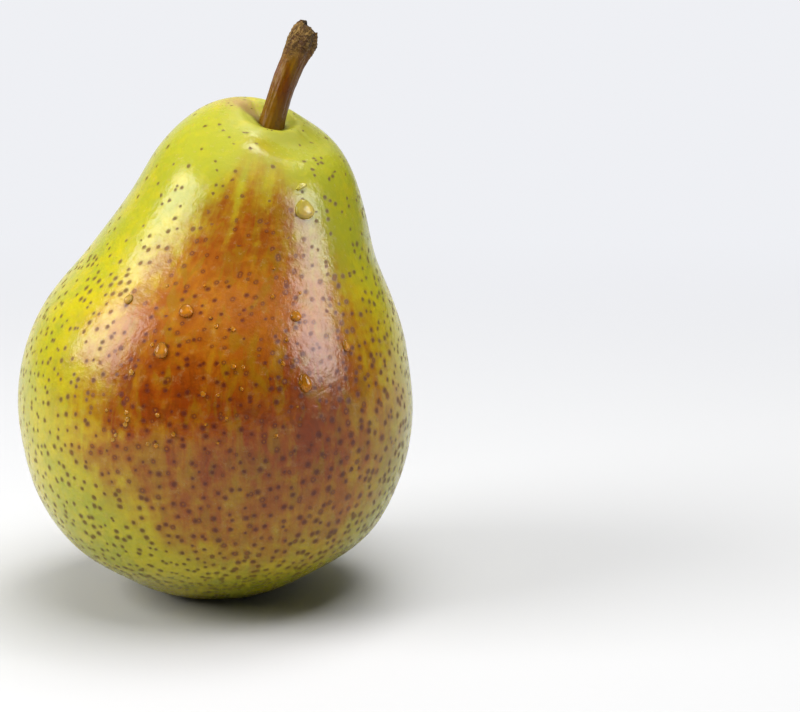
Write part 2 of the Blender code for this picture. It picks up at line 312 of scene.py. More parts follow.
def ring_faces(rows, columns):
    """Quads between rows of a grid whose columns close into a ring, facing outwards."""
    row, column = np.meshgrid(np.arange(rows - 1), np.arange(columns), indexing="ij")
    following = (column + 1) % columns
    corners = (
        row * columns + column,
        row * columns + following,
        (row + 1) * columns + following,
        (row + 1) * columns + column,
    )
    return np.stack(corners, axis=-1).reshape(-1, 4)


def closed_surface(points):
    """Vertices and faces of a grid, rows by a closed ring of columns, with a fan to a pole at each end."""
    rows, columns = points.shape[:2]
    low, high = points[0].mean(axis=0), points[-1].mean(axis=0)
    vertices = np.concatenate((points.reshape(-1, 3), [low], [high]))
    ring = np.arange(columns)
    following = (ring + 1) % columns
    low_fan = np.stack((following, ring, np.full(columns, rows * columns)), axis=-1)
    last = (rows - 1) * columns
    high_fan = np.stack((last + ring, last + following, np.full(columns, rows * columns + 1)), axis=-1)
    return vertices, ring_faces(rows, columns).tolist() + low_fan.tolist() + high_fan.tolist()


def make_piece(name, vertices, faces, material, node=None):
    """A smooth-shaded mesh piece that rides on the part's one body."""
    mesh = bpy.data.meshes.new(name)
    mesh.from_pydata(np.asarray(vertices).tolist(), [], faces)
    mesh.validate()
    mesh.shade_smooth()
    mesh.materials.append(material)
    piece = bpy.data.objects.new(name, mesh)
    bpy.context.scene.collection.objects.link(piece)
    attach(piece, "root")
    if node:
        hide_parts(node)
    return piece


def add_attribute(piece, name, values):
    """A number at each vertex, for the material to read."""
    attribute = piece.data.attributes.new(name, "FLOAT", "POINT")
    attribute.data.foreach_set("value", np.asarray(values, np.float32).ravel())


def add_masks(piece, masks):
    """Attributes from values on a closed surface's grid. Each pole takes the mean of the ring beside it."""
    for name, values in masks.items():
        ends = [values[0].mean(), values[-1].mean()]
        add_attribute(piece, name, np.concatenate((values.ravel(), ends)))


class Shading:
    """Builds one material's nodes around its Principled shader."""

    def __init__(self, name):
        self.material = bpy.data.materials.new(name)
        self.material.use_nodes = True
        self.nodes = self.material.node_tree.nodes
        self.links = self.material.node_tree.links
        self.shader = self.nodes["Principled BSDF"]
        self.place = self.nodes.new("ShaderNodeTexCoord").outputs["Object"]

    def put(self, socket, value):
        """Links a socket's value in, or sets it as a constant."""
        if isinstance(value, bpy.types.NodeSocket):
            self.links.new(value, socket)
        elif hasattr(value, "__len__") and len(value) == 3 and socket.type == "RGBA":
            socket.default_value = (*value, 1.0)
        else:
            socket.default_value = value

    def finish(self, **values):
        """Sets the shader's own sockets, by their names with underscores for spaces."""
        for name, value in values.items():
            self.put(self.shader.inputs[name.replace("_", " ")], value)

    def attribute(self, name):
        """A number that the piece's mesh carries at each vertex."""
        node = self.nodes.new("ShaderNodeAttribute")
        node.attribute_name = name
        return node.outputs["Fac"]

    def chart(self):
        """The piece's own UV map."""
        node = self.nodes.new("ShaderNodeUVMap")
        node.uv_map = "map"
        return node.outputs["UV"]

    def stretched(self, scale, vector=None):
        """Coordinates with each axis scaled on its own."""
        node = self.nodes.new("ShaderNodeMapping")
        self.put(node.inputs["Vector"], self.place if vector is None else vector)
        node.inputs["Scale"].default_value = scale
        return node.outputs["Vector"]

    def noise(self, scale, detail=3.0, roughness=0.55, vector=None, distortion=0.0):
        """Cloudy noise from 0 to 1 on the piece's own coordinates, or on others."""
        node = self.nodes.new("ShaderNodeTexNoise")
        self.put(node.inputs["Vector"], self.place if vector is None else vector)
        node.inputs["Scale"].default_value = scale
        node.inputs["Detail"].default_value = detail
        node.inputs["Roughness"].default_value = roughness
        node.inputs["Distortion"].default_value = distortion
        return node.outputs["Fac"]

    def cells(self, scale, randomness, chart):
        """Over a flat chart: distance to the nearest of scattered points in cells, a random number for
        that point, and how far across the chart it lies."""
        node = self.nodes.new("ShaderNodeTexVoronoi")
        node.voronoi_dimensions = "2D"
        self.put(node.inputs["Vector"], chart)
        node.inputs["Scale"].default_value = scale
        node.inputs["Randomness"].default_value = randomness
        chance = self.nodes.new("ShaderNodeSeparateColor")
        self.links.new(node.outputs["Color"], chance.inputs["Color"])
        place = self.nodes.new("ShaderNodeSeparateXYZ")
        self.links.new(node.outputs["Position"], place.inputs["Vector"])
        return node.outputs["Distance"], chance.outputs["Red"], place.outputs["X"]

    def math(self, operation, first, second=0.0, clamp=False):
        """One sum of two values, kept from 0 to 1 if clamp is on."""
        node = self.nodes.new("ShaderNodeMath")
        node.operation = operation
        node.use_clamp = clamp
        self.put(node.inputs[0], first)
        self.put(node.inputs[1], second)
        return node.outputs["Value"]

    def ramp(self, value, start, end, low=0.0, high=1.0):
        """A smooth step of a value from start to end, onto low to high."""
        node = self.nodes.new("ShaderNodeMapRange")
        node.interpolation_type = "SMOOTHSTEP"
        self.put(node.inputs["Value"], value)
        self.put(node.inputs["From Min"], start)
        self.put(node.inputs["From Max"], end)
        self.put(node.inputs["To Min"], low)
        self.put(node.inputs["To Max"], high)
        return node.outputs["Result"]

    def product(self, first, *others):
        """Several values multiplied."""
        for other in others:
            first = self.math("MULTIPLY", first, other)
        return first

    def total(self, first, *others):
        """Several values added."""
        for other in others:
            first = self.math("ADD", first, other)
        return first

    def swing(self, value, reach, start=0.3, end=0.7):
        """A smooth step of a noise from minus to plus its reach."""
        return self.ramp(value, start, end, -reach, reach)

    def mix(self, amount, first, second):
        """The first colour, and the second over it by an amount."""
        node = self.nodes.new("ShaderNodeMix")
        node.data_type = "RGBA"
        self.put(node.inputs[0], amount)
        self.put(node.inputs[6], first)
        self.put(node.inputs[7], second)
        return node.outputs[2]

    def bump(self, height, strength, distance, normal=None):
        """Relief from a height in shares of a distance, on top of other relief if given."""
        node = self.nodes.new("ShaderNodeBump")
        node.inputs["Strength"].default_value = strength
        node.inputs["Distance"].default_value = distance
        self.put(node.inputs["Height"], height)
        if normal is not None:
            self.put(node.inputs["Normal"], normal)
        return node.outputs["Normal"]


def colour_property(name, description, default):
    """A colour that a user may change, in linear light."""
    return FloatVectorProperty(
        name=name, description=description, subtype="COLOR", size=3, min=0, max=1, default=default
    )


def power_property(name, description, default):
    """A lamp's power in watts."""
    return FloatProperty(name=name, description=description, unit="POWER", default=default)


class SkinSettings(PropertyGroup):
    """Colours of the skin and the size of its dots"""

    ground: colour_property("Ground", "Yellow of the sunny skin", (0.50, 0.425, 0.009))
    lime: colour_property("Lime", "Greener yellow of the shaded skin", (0.355, 0.355, 0.018))
    pale_blush: colour_property("Pale blush", "Pinkish orange of the upper blush", (0.455, 0.158, 0.004))
    blush: colour_property("Blush", "Orange brown of the blush", (0.285, 0.045, 0.001))
    deep_blush: colour_property("Deep blush", "Red brown round the lenticels", (0.150, 0.029, 0.001))
    gold: colour_property("Gold", "Olive gold that shows through the blush", (0.29, 0.155, 0.002))
    lenticel: colour_property("Lenticels", "Brown of the small dots", (0.120, 0.062, 0.001))
    red_lenticel: colour_property("Lenticels in the blush", "Dark brown dots", (0.100, 0.011, 0.001))
    russet: colour_property("Russet", "Tan of the corky skin by the stem", (0.40, 0.255, 0.085))
    stain: colour_property("Stain", "Dark brown round the foot of the stem", (0.055, 0.030, 0.004))
    dot: FloatProperty(
        name="Dot radius", description="Usual radius of the dots", unit="LENGTH", default=0.37 * MM
    )


class StemSettings(PropertyGroup):
    """Colours of the stem"""

    bark: colour_property("Bark", "Red brown of the bark", (0.135, 0.036, 0.001))
    base: colour_property("Collar", "Olive brown near the flesh", (0.185, 0.088, 0.002))
    knob: colour_property("Knob", "Grey brown of the knob", (0.34, 0.215, 0.065))
    scar: colour_property("Scar", "Near-black of the broken end", (0.030, 0.020, 0.012))


class EyeSettings(PropertyGroup):
    """Colours of the dried eye"""

    sepal: colour_property("Sepals", "Dark brown of the dried sepals", (0.060, 0.030, 0.014))
    tip: colour_property("Tips", "Paler brown of the folded edges", (0.20, 0.12, 0.06))


class DropSettings(PropertyGroup):
    """The drops of water: how many, and how they gather light: painted light at their low ends and painted shade
    along their edges
    """

    small: IntProperty(name="Fine drops", description="How many fine drops lie on the blush", default=34)
    refraction: FloatProperty(name="Refraction", description="Index of refraction", default=1.33)
    # Painted light and shade: the glow colours are painted light gathered at a drop's low end, the edge colours
    # painted shade along its rim
    glow: colour_property("Glow", "Amber that a drop gathers over the blush", (0.95, 0.40, 0.015))
    edge: colour_property("Edge", "Dark edge of a drop over the blush", (0.34, 0.13, 0.006))
    green_painted_glow: colour_property("Green glow", "Yellow that a drop gathers over plain skin", (0.95, 0.90, 0.30))
    green_edge_painted_shade: colour_property("Green edge", "Dark edge of a drop over plain skin", (0.66, 0.62, 0.08))


class StageSettings(PropertyGroup):
    """The floor, the background and the lights"""

    floor: colour_property("Floor", "Pale floor", (0.54, 0.54, 0.54))
    air: colour_property("Background", "Pale background", (0.86, 0.87, 0.905))
    left_light: power_property("Left light", "Softbox at the left", 5.7)
    right_light: power_property("Right shine", "Strip that shows in the gloss", 4.9)
    right_fill: power_property("Right fill", "Faint fill at the right", 6.6)
    top_light: power_property("Top light", "Lamp overhead", 1.8)


def skin_relief(turn, points):
    """How far the skin stands out from its plain shape, in metres.

    Long shallow waves run round and along the body, and fade towards both poles: products of sines of
    the turn and the height. Round the stem, folds and creases are products of a bell of the way that a
    point faces from the stem and a bell of its distance. A knoll on the front shoulder is one more bell.
    """
    x, y, z = (points[..., axis] / MM for axis in range(3))
    body = smooth_rise(z, 8, 22) * (1 - smooth_rise(z, 72, 80))
    waves = 0.16 * np.sin(0.21 * z + 2.0 * np.sin(turn + 0.6)) * np.cos(3 * turn + 0.07 * z)
    waves += 0.09 * np.sin(5 * turn - 0.16 * z + 1.3) * np.cos(0.11 * z + 0.4)
    from_stem = np.hypot(x - CORE_FOOT, y)
    facing = np.degrees(np.arctan2(y, x - CORE_FOOT))
    top = smooth_rise(z, 76, 78)
    folds = sum(
        gain * around(facing, middle, spread) * hill(from_stem, away, width)
        for gain, middle, spread, away, width in FOLDS
    )
    knoll = hill(np.hypot(x - KNOLL[0], y - KNOLL[1]), 0.0, KNOLL[2]) * smooth_rise(z, 70, 74)
    return (body * waves + top * folds + KNOLL_HEIGHT * knoll) * MM


def skin_surface(rows, columns):
    """Grid of the finished skin: the fruit's points pushed out along their normals by the relief.

    Also gives each point's turn in degrees, and its height on a map of the skin that keeps angles:
    a step up counts by the girth at its place, and one whole turn is 1.
    """
    turn = SEAM + np.linspace(0, 2 * math.pi, columns, endpoint=False)[None, :]
    share = even_shares(np.array(FRUIT_OUTLINE) * [BELLY_RADIUS, FRUIT_HEIGHT, 0, 0], rows)[1:-1, None]
    points = fruit_point(turn, share)
    girth = np.linalg.norm(np.roll(points, -1, axis=1) - points, axis=2).sum(axis=1)
    step = np.linalg.norm(np.diff(points, axis=0), axis=2).mean(axis=1)
    climb = np.concatenate(([0.0], np.cumsum(2 * step / (girth[1:] + girth[:-1]))))
    points = points + grid_normals(points) * skin_relief(turn, points)[..., None]
    points[..., 2] = np.maximum(points[..., 2], 0.0)
    degrees = (np.degrees(turn) + 180) % 360 - 180
    return points - fruit_centre(), degrees + 0 * share, climb, girth


def map_skin(piece, climb, columns):
    """UVs of the skin: share of the whole turn, and the height on the map that keeps angles."""
    rows = len(climb)
    row, column = np.meshgrid(np.arange(rows - 1), np.arange(columns), indexing="ij")
    u = np.stack((column, column + 1, column + 1, column), axis=-1) / columns
    v = climb[np.stack((row, row, row + 1, row + 1), axis=-1)]
    ring = np.arange(columns)
    low = np.stack(((ring + 1) / columns, ring / columns, (ring + 0.5) / columns), axis=-1)
    high = np.stack((ring / columns, (ring + 1) / columns, (ring + 0.5) / columns), axis=-1)
    across = np.concatenate((u.ravel(), low.ravel(), high.ravel()))
    up = np.concatenate((v.ravel(), np.full(3 * columns, climb[0]), np.full(3 * columns, climb[-1])))
    layer = piece.data.uv_layers.new(name="map")
    layer.data.foreach_set("uv", np.stack((across, up), axis=-1).ravel().astype(np.float32))


def blush_mask(turn, height):
    """How much of the blush lies at a turn in degrees and a height in millimetres."""
    left, right, strength = (by_height([(row[0], row[column]) for row in BLUSH], height) for column in (1, 2, 3))
    fade = by_height(BLUSH_FADE, height)
    from_left = (turn - left + 180) % 360 - 180
    from_right = (right - turn + 180) % 360 - 180
    mask = strength * smooth_rise(from_left, -fade, fade) * smooth_rise(from_right, -fade, fade)
    for middle, half, low, high, gain in STREAKS:
        reach = smooth_rise(height, low - 4, low + 4) * (1 - smooth_rise(height, high - 4, high + 2))
        mask = mask + gain * around(turn, middle, half) * reach
    return np.clip(mask, 0, 1.2)


def skin_material(settings):
    """Waxy pear skin: yellow-green ground, mottled blush, corky russet and scattered lenticels."""
    look = Shading("pear_skin_finish")
    chart = look.chart()
    mottle = look.noise(210, 4.0, 0.62)
    patches = look.noise(62, 3.0, 0.6)
    flecks = look.noise(520, 2.0, 0.6)
    fine = look.noise(1100, 3.0, 0.6)
    streaks = look.noise(1.0, 4.0, 0.6, look.stretched((75, 14, 1), chart), 0.5)
    threads = look.noise(1.0, 3.0, 0.6, look.stretched((66, 26, 1), chart), 0.8)
    crumbs = look.noise(1.0, 4.0, 0.65, look.stretched((90, 90, 1), chart))

    # Yellow ground with greener patches
    green = look.math("ADD", look.swing(patches, 0.4, 0.34, 0.68), look.swing(mottle, 0.25, 0.35, 0.65))
    green = look.math("ADD", look.attribute("lime"), green, clamp=True)
    green = look.math("ADD", green, look.swing(flecks, 0.22, 0.35, 0.65), clamp=True)
    colour = look.mix(green, settings.ground, settings.lime)

    # Blush that breaks up in streaks, gathers round the lenticels and lets some gold through
    distance, chance, place = look.cells(CELLS, 1.0, chart)
    away = look.product(distance, look.attribute("cell"))
    breakup = look.total(look.swing(streaks, 0.12), look.swing(mottle, 0.13))
    halo = look.ramp(away, 1.4, 0.2, 0.0, 0.12)
    blush = look.attribute("blush")
    loose = look.product(look.total(breakup, halo), look.ramp(blush, 0.0, 0.5))
    cover = look.ramp(look.total(blush, loose), 0.0, 1.05)
    depth = look.math("ADD", look.attribute("depth"), look.product(breakup, 0.8), clamp=True)
    colour = look.mix(cover, colour, look.mix(depth, settings.pale_blush, settings.blush))
    round_dots = look.ramp(away, 1.5, 0.2, 0.0, 0.35)
    deep = look.ramp(look.total(round_dots, breakup), -0.15, 0.60, 0.0, 0.7)
    deep = look.math("MAXIMUM", deep, look.ramp(threads, 0.50, 0.34, 0.0, 0.7))
    deep = look.product(deep, cover, look.attribute("depth"))
    colour = look.mix(deep, colour, settings.deep_blush)
    gold = look.product(look.ramp(threads, 0.48, 0.66, 0.0, 0.6), look.ramp(cover, 0.4, 0.9))
    colour = look.mix(gold, colour, settings.gold)

    # Cork by the stem and at the eye, and the dark stain at the stem's foot
    corky = look.ramp(look.total(look.attribute("russet"), look.swing(crumbs, 0.4)), 0.1, 1.1)
    colour = look.mix(corky, colour, settings.russet)
    colour = look.mix(look.attribute("stain"), colour, settings.stain)

    # Lenticels: a soft dot at the middle of each cell that is kept, some with a pale core
    kept = look.math("LESS_THAN", chance, look.attribute("dots"))
    kept = look.product(kept, look.math("GREATER_THAN", place, SEAM_GAP))
    kept = look.product(kept, look.math("LESS_THAN", place, 1 - SEAM_GAP))
    size = look.ramp(look.noise(380, 1.0), 0.3, 0.7, 0.65, 1.3)
    size = look.product(size, settings.dot / MM, look.attribute("dot_size"))
    reach = look.math("DIVIDE", away, size)
    spot = look.product(look.ramp(reach, 1.6, 0.25), kept)
    ringed = look.product(look.math("LESS_THAN", chance, RINGED), cover)
    core = look.product(look.ramp(reach, 0.65, 0.15), ringed, 0.6)
    tint = look.mix(cover, settings.lenticel, settings.red_lenticel)
    tint = look.mix(core, tint, settings.pale_blush)
    colour = look.mix(look.product(spot, look.ramp(cover, 0.2, 1.0, 0.95, 0.90)), colour, tint)

    # Wax, which is duller on the cork, round the stem and on the dots
    dull = look.math("MAXIMUM", look.product(corky, 0.9), look.product(spot, look.ramp(cover, 0.4, 1.0, 1.0, 0.4)))
    dull = look.product(look.math("MAXIMUM", look.attribute("matte"), dull), 0.36)
    crinkle = look.bump(look.noise(640, 3.0, 0.6), 0.42, 0.20 * MM)
    look.finish(
        Base_Color=colour,
        Roughness=look.total(look.ramp(fine, 0.3, 0.7, 0.17, 0.26), dull),
        IOR=1.42,
        Subsurface_Weight=0.08,
        Subsurface_Radius=(0.9, 0.5, 0.12),
        Subsurface_Scale=1.2 * MM,
        Normal=look.bump(fine, 0.34, 0.12 * MM, crinkle),
    )
    return look.material


def skin_masks(points, turn, girth):
    """Numbers from about 0 to 1 over the skin's grid that say where its material does what."""
    x, y, height = (points[..., axis] / MM for axis in range(3))
    from_stem = np.hypot(x - STEM_FOOT[0], y - STEM_FOOT[1])
    facing = np.degrees(np.arctan2(y - STEM_FOOT[1], x - STEM_FOOT[0]))
    on_right = smooth_rise(turn, -75, -45)
    lime = 0.22 + 0.45 * on_right * (1 - smooth_rise(turn, 60, 120)) * smooth_rise(height, 40, 62)
    lime += 0.25 * hill(height, 8, 16) + 0.35 * smooth_rise(height, 70, 80) + 0.45 * smooth_rise(height, 50, 66)
    russet = around(facing, 158, 34) * hill(from_stem, 4.8, 4.6) * (height > 76)
    russet += 0.6 * (height < 6) * (1 - smooth_rise(np.hypot(x, y), 5, 9))
    stain_edge = 3.2 + 2.4 * around(facing, 160, 60)
    depth = by_height(BLUSH_DEPTH, height)
    depth = depth * (0.25 + 0.75 * smooth_rise(turn, -132, -106)) * (1 - 0.6 * smooth_rise(turn, -56, -34))
    dot_size = 1 + 0.26 * on_right * (1 - smooth_rise(turn, 40, 90)) + 0.12 * (1 - smooth_rise(height, 20, 34))
    cell = girth[:, None] / MM / CELLS + 0 * height
    from_knoll = np.hypot(x - KNOLL[0], y - KNOLL[1])
    return {
        "blush": blush_mask(turn, height) + 0.15 * hill(from_knoll, 0, 3.6) * (height > 70),
        "lime": lime,
        "russet": russet,
        "stain": 0.85 * (1 - smooth_rise(from_stem, 2.0, stain_edge)) * (height > 76),
        "matte": hill(from_stem, 4.4, 2.6) * (height > 74),
        "dot_size": dot_size,
        "depth": depth,
        "cell": cell,
        "dots": np.clip((cell / by_height(DOT_SPACING, height)) ** 2, 0, 1),
    }


class PEAR_OT_skin(Operator):
    """Make the fruit's skin, with its blush, dots and russet"""

    bl_idname = "pear.skin"
    bl_label = "Fruit skin"

    def execute(self, context):
        points, turn, climb, girth = skin_surface(rows=262, columns=360)
        vertices, faces = closed_surface(points)
        material = skin_material(context.scene.pear_skin)
        piece = make_piece("fruit_skin", vertices, faces, material, "fruit")
        map_skin(piece, climb, points.shape[1])
        add_masks(piece, skin_masks(points, turn, girth))
        return {"FINISHED"}


def off_pole(radius):
    """1 on the stem's side, and down to 0 at the two ends of its core."""
    return np.clip(radius / (1.2 * MM), 0, 1)


def stem_surface(rows, columns):
    """Grid of the stem: rings carried along its bent core, each tipped with it, with lobes that deepen
    to the knob. Sines round the ring and along the core add ridges, lumps and the torn end."""
    table = np.array(STEM_OUTLINE) * [MM, MM, MM, MM, math.pi / 180]
    turn = np.linspace(-math.pi, math.pi, columns, endpoint=False)[None, :]
    share = even_shares(table[:, [0, 3, 1, 2, 4]], rows)[1:-1, None]
    radius, x, y, z, lean = along_outline(table, share)
    way = z / MM
    knob = smooth_rise(way, 90, 95)
    flare = 0.12 * (1 - smooth_rise(way, 88, 91)) + 0.20 * (1 - smooth_rise(way, 78.5, 83))
    radius = radius + flare * MM * off_pole(radius)
    open_air = smooth_rise(way, 78.2, 85.2)
    out = radius * (1 + sum(lobe(kind, turn) for kind in STEM_LOBES) * (1 + 1.6 * knob) * open_air)
    ridges = 0.035 * np.sin(9 * turn + 0.35 * way) + 0.020 * np.sin(17 * turn - 0.5 * way + 1.0)
    lumps = 0.09 * np.sin(4 * turn + 1.9 * way) * np.sin(1.7 * way + 0.5) * (0.25 + 0.75 * knob)
    crumbs = 0.10 * np.sin(11 * turn + 5 * way) * np.sin(6.1 * way) * knob
    out = out + (ridges + lumps + crumbs) * MM * off_pole(radius)
    torn = 0.30 * np.sin(3 * turn + 0.6) + 0.20 * np.sin(5 * turn + 2.2) + 0.07 * np.sin(8 * turn)
    torn = torn * MM * smooth_rise(share, 0.84, 0.88) * off_pole(radius)
    side = out * np.cos(turn)
    x = x + side * np.cos(lean) + torn * np.sin(lean)
    z = z - side * np.sin(lean) + torn * np.cos(lean)
    return np.stack((x, y + out * np.sin(turn), z), axis=-1) - fruit_centre(), share + 0 * turn


def stem_material(settings):
    """Bark that goes from olive brown at the flesh to red brown and to a grey knob with a dark scar."""
    look = Shading("stem_bark_finish")
    stripes = look.noise(1.0, 4.0, 0.6, look.stretched((800, 800, 110)), 0.5)
    spots = look.noise(700, 3.0)
    knob = look.attribute("knob")
    colour = look.mix(look.ramp(stripes, 0.35, 0.68), settings.bark, settings.base)
    patchy = look.ramp(spots, 0.3, 0.6, 0.55, 1.0)
    colour = look.mix(look.math("MULTIPLY", look.attribute("collar"), patchy), colour, settings.base)
    cracks = look.ramp(look.noise(620, 5.0, 0.7, distortion=1.8), 0.38, 0.62)
    bark = look.mix(cracks, settings.scar, settings.knob)
    colour = look.mix(look.math("MULTIPLY", knob, 0.9), colour, bark)
    flecks = look.ramp(look.noise(1600, 2.0), 0.58, 0.68)
    colour = look.mix(look.math("MULTIPLY", flecks, 0.35), colour, settings.scar)
    colour = look.mix(look.attribute("scar"), colour, settings.scar)
    grain = look.bump(stripes, 0.22, 0.2 * MM)
    rough = look.bump(look.math("MULTIPLY", cracks, knob), 0.8, 0.35 * MM, grain)
    look.finish(
        Base_Color=colour,
        Specular_IOR_Level=0.14,
        Roughness=look.math("ADD", look.ramp(spots, 0.3, 0.7, 0.24, 0.36), look.math("MULTIPLY", knob, 0.25)),
        Normal=look.bump(look.noise(1900, 2.0), 0.12, 0.1 * MM, rough),
    )
    return look.material


class PEAR_OT_stem(Operator):
    """Make the woody stem with its knob and broken end"""

    bl_idname = "pear.stem"
    bl_label = "Stem"

    def execute(self, context):
        points, share = stem_surface(rows=240, columns=96)
        vertices, faces = closed_surface(points)
        material = stem_material(context.scene.pear_stem)
        piece = make_piece("stem_bark", vertices, faces, material, "stem")
        height = points[..., 2] / MM
        masks = {
            "collar": 1 - smooth_rise(height, 80, 87),
            "knob": 0.75 * smooth_rise(height, 90.5, 94),
            "scar": smooth_rise(share, 0.865, 0.91),
        }
        add_masks(piece, masks)
        return {"FINISHED"}


def eye_material(settings):
    """Dull dried sepals with veins: dark brown and paler brown in stretched streaks."""
    look = Shading("dried_sepal_finish")
    veins = look.noise(1.0, 4.0, 0.6, look.stretched((1100, 1100, 500)), 0.6)
    colour = look.mix(look.ramp(veins, 0.4, 0.75), settings.sepal, settings.tip)
    look.finish(Base_Color=colour, Roughness=0.85, Normal=look.bump(veins, 0.6, 0.3 * MM))
    return look.material


def sepal_blade(number, rows=22, columns=24):
    """A closed sepal: a flat oval ring round a core that leaves the eye's ring, drops and bends out.

    The ring's half width grows and then runs to a point, its edges curl, and wrinkles run along it.
    """
    turn = np.linspace(0, 2 * math.pi, columns, endpoint=False)[None, :]
    along = np.linspace(0.0, 1.0, rows)[:, None]
    half = 1.35 * (np.sqrt(1 - 0.985 * along) + 0.55 * np.sin(math.pi * along))
    half = half * (1 + 0.06 * np.sin(9 * along + number))
    thick = 0.28 * np.sqrt(1 - 0.96 * along)
    facing = 2 * math.pi * (number + 0.15 * math.sin(3 * number)) / SEPALS
    reach = 3.2 * (1 + 0.12 * math.cos(2 * number))
    across = half * np.cos(turn)
    curl = 0.30 * across**2 / 1.35 - 0.5 * along**3 * np.abs(across)
    wrinkle = 0.07 * np.sin(5.5 * across + 2 * along + number)
    out = 1.9 + reach * along**1.6 - curl + 0.6 * thick * np.sin(turn)
    down = 4.3 - 3.3 * np.sin(0.5 * math.pi * along) + 0.8 * thick * np.sin(turn) + wrinkle
    x = out * math.cos(facing) - across * math.sin(facing)
    y = out * math.sin(facing) + across * math.cos(facing)
    return np.stack((x, y, down + 0 * x), axis=-1) * MM


def eye_ring(rows=40, columns=72):
    """The eye's ring: a profile turned round the core, with a wall, a rim, and an open mouth with a
    floor. A cosine round it puckers its radius."""
    turn = np.linspace(-math.pi, math.pi, columns, endpoint=False)[None, :]
    radius, height = along_outline(EYE_PROFILE, even_shares(EYE_PROFILE, rows))
    radius, height = radius[:, None], height[:, None]
    pucker = 1 + 0.05 * np.cos(10 * turn + height) * smooth_rise(radius, 0.8, 2.0)
    ring = radius * pucker
    return np.stack((ring * np.cos(turn), ring * np.sin(turn), height + 0 * turn), axis=-1) * MM


def stamen(number, rows=10, columns=6):
    """A dried thread: a thin ring carried down out of the mouth along a core that bends out and aside."""
    turn = np.linspace(0, 2 * math.pi, columns, endpoint=False)[None, :]
    along = np.linspace(0.0, 1.0, rows)[:, None]
    facing = GOLDEN_ANGLE * number
    root = 0.35 + 0.75 * ((0.618 * number) % 1.0)
    length = 2.6 + 1.1 * ((0.37 * number) % 1.0)
    thick = 0.10 * (1 - 0.5 * along) + 0.06 * hill(along, 1.0, 0.12)
    out = root + 0.9 * along**2 + thick * np.cos(turn)
    aside = thick * np.sin(turn) + 0.35 * np.sin(3 * along + number)
    x = out * math.cos(facing) - aside * math.sin(facing)
    y = out * math.sin(facing) + aside * math.cos(facing)
    return np.stack((x, y, 5.7 - length * along + 0 * x), axis=-1) * MM


def join_surfaces(grids):
    """One vertex and face list from several closed grids."""
    vertices, faces, count = [], [], 0
    for grid in grids:
        points, polygons = closed_surface(grid)
        faces += [[index + count for index in polygon] for polygon in polygons]
        vertices.append(points)
        count += len(points)
    return np.concatenate(vertices), faces


class PEAR_OT_eye(Operator):
    """Make the dried eye: its ring, five sepals and threads"""

    bl_idname = "pear.eye"
    bl_label = "Eye"

    def execute(self, context):
        shift = fruit_centre()
        grids = [eye_ring()[::-1]]
        grids += [sepal_blade(number) for number in range(SEPALS)]
        grids += [stamen(number)[::-1] for number in range(STAMENS)]
        vertices, faces = join_surfaces([grid - shift for grid in grids])
        material = eye_material(context.scene.pear_eye)
        make_piece("dried_eye", vertices, faces, material, "calyx")
        return {"FINISHED"}


def skin_place(turn_degrees, height):
    """A point on the outer skin at a turn and height in millimetres, with its normal."""
    turn = math.radians(turn_degrees)
    share = np.linspace(0.30, 0.86, 600)[:, None]
    spread = turn + np.array([-0.01, 0.0, 0.01])[None, :]
    points = fruit_point(spread, share)
    row = int(np.abs(points[:, 1, 2] / MM - height).argmin())
    across = points[row, 2] - points[row, 0]
    up = points[min(row + 1, len(share) - 1), 1] - points[max(row - 1, 0), 1]
    normal = np.cross(across, up)
    normal = normal / np.linalg.norm(normal)
    centre = points[row, 1] + normal * skin_relief(turn, points[row, 1])
    return centre - fruit_centre(), normal


def drop_cap(place, width, length, thick, lean, rows=9, columns=20):
    """A bead of water: a low dome over an oval, a ring at each rise from its foot, which is sunk in the
    skin, to its crown. Its rings are wider and higher towards its lower end."""
    centre, normal = skin_place(*place)
    up = np.array([0.0, 0.0, 1.0]) - normal * normal[2]
    up /= np.linalg.norm(up)
    side = np.cross(up, normal)
    turn = np.linspace(0, 2 * math.pi, columns, endpoint=False)[None, :]
    rise = np.linspace(-0.35, 0.5 * math.pi, rows + 1)[:-1, None]
    reach = np.cos(rise) ** 0.8
    across = 0.5 * width * reach * np.cos(turn) * (1 - 0.22 * np.sin(turn))
    along = 0.5 * length * reach * np.sin(turn)
    tip = math.radians(lean)
    a = across * math.cos(tip) - along * math.sin(tip)
    b = across * math.sin(tip) + along * math.cos(tip)
    out = thick * (np.sin(rise) * (1 - 0.2 * np.sin(turn) * reach)) + 0 * turn
    return centre + MM * (a[..., None] * side + b[..., None] * up + out[..., None] * normal)


def fine_drops(count):
    """Places and sizes of fine drops on the blush, drawn with a fixed seed."""
    draw = np.random.default_rng(DROP_SEED)
    turn = draw.uniform(-118, -58, count)
    height = draw.uniform(33, 60, count)
    width = draw.uniform(0.5, 0.9, count)
    stretch = draw.uniform(0.9, 1.4, count)
    lean = draw.uniform(-60, 60, count)
    return list(zip(turn, height, width, width * stretch, 0.34 * width, lean))


def water_material(settings):
    """Water whose colour holds painted light and shade: a painted glow at a bead's low end, where it gathers
    light, and painted shade dark along its edge.
    """
    look = Shading("water_finish")
    over_blush = look.attribute("over_blush")
    # Painted shade for the edge and painted light for the glow, each following the skin beneath the drop
    edge = look.mix(over_blush, settings.green_edge_painted_shade, settings.edge)
    glow = look.mix(over_blush, settings.green_painted_glow, settings.glow)
    look.finish(
        Base_Color=look.mix(look.attribute("gathered"), edge, glow),
        Roughness=0.03,
        IOR=settings.refraction,
        Transmission_Weight=0.6,
    )
    return look.material


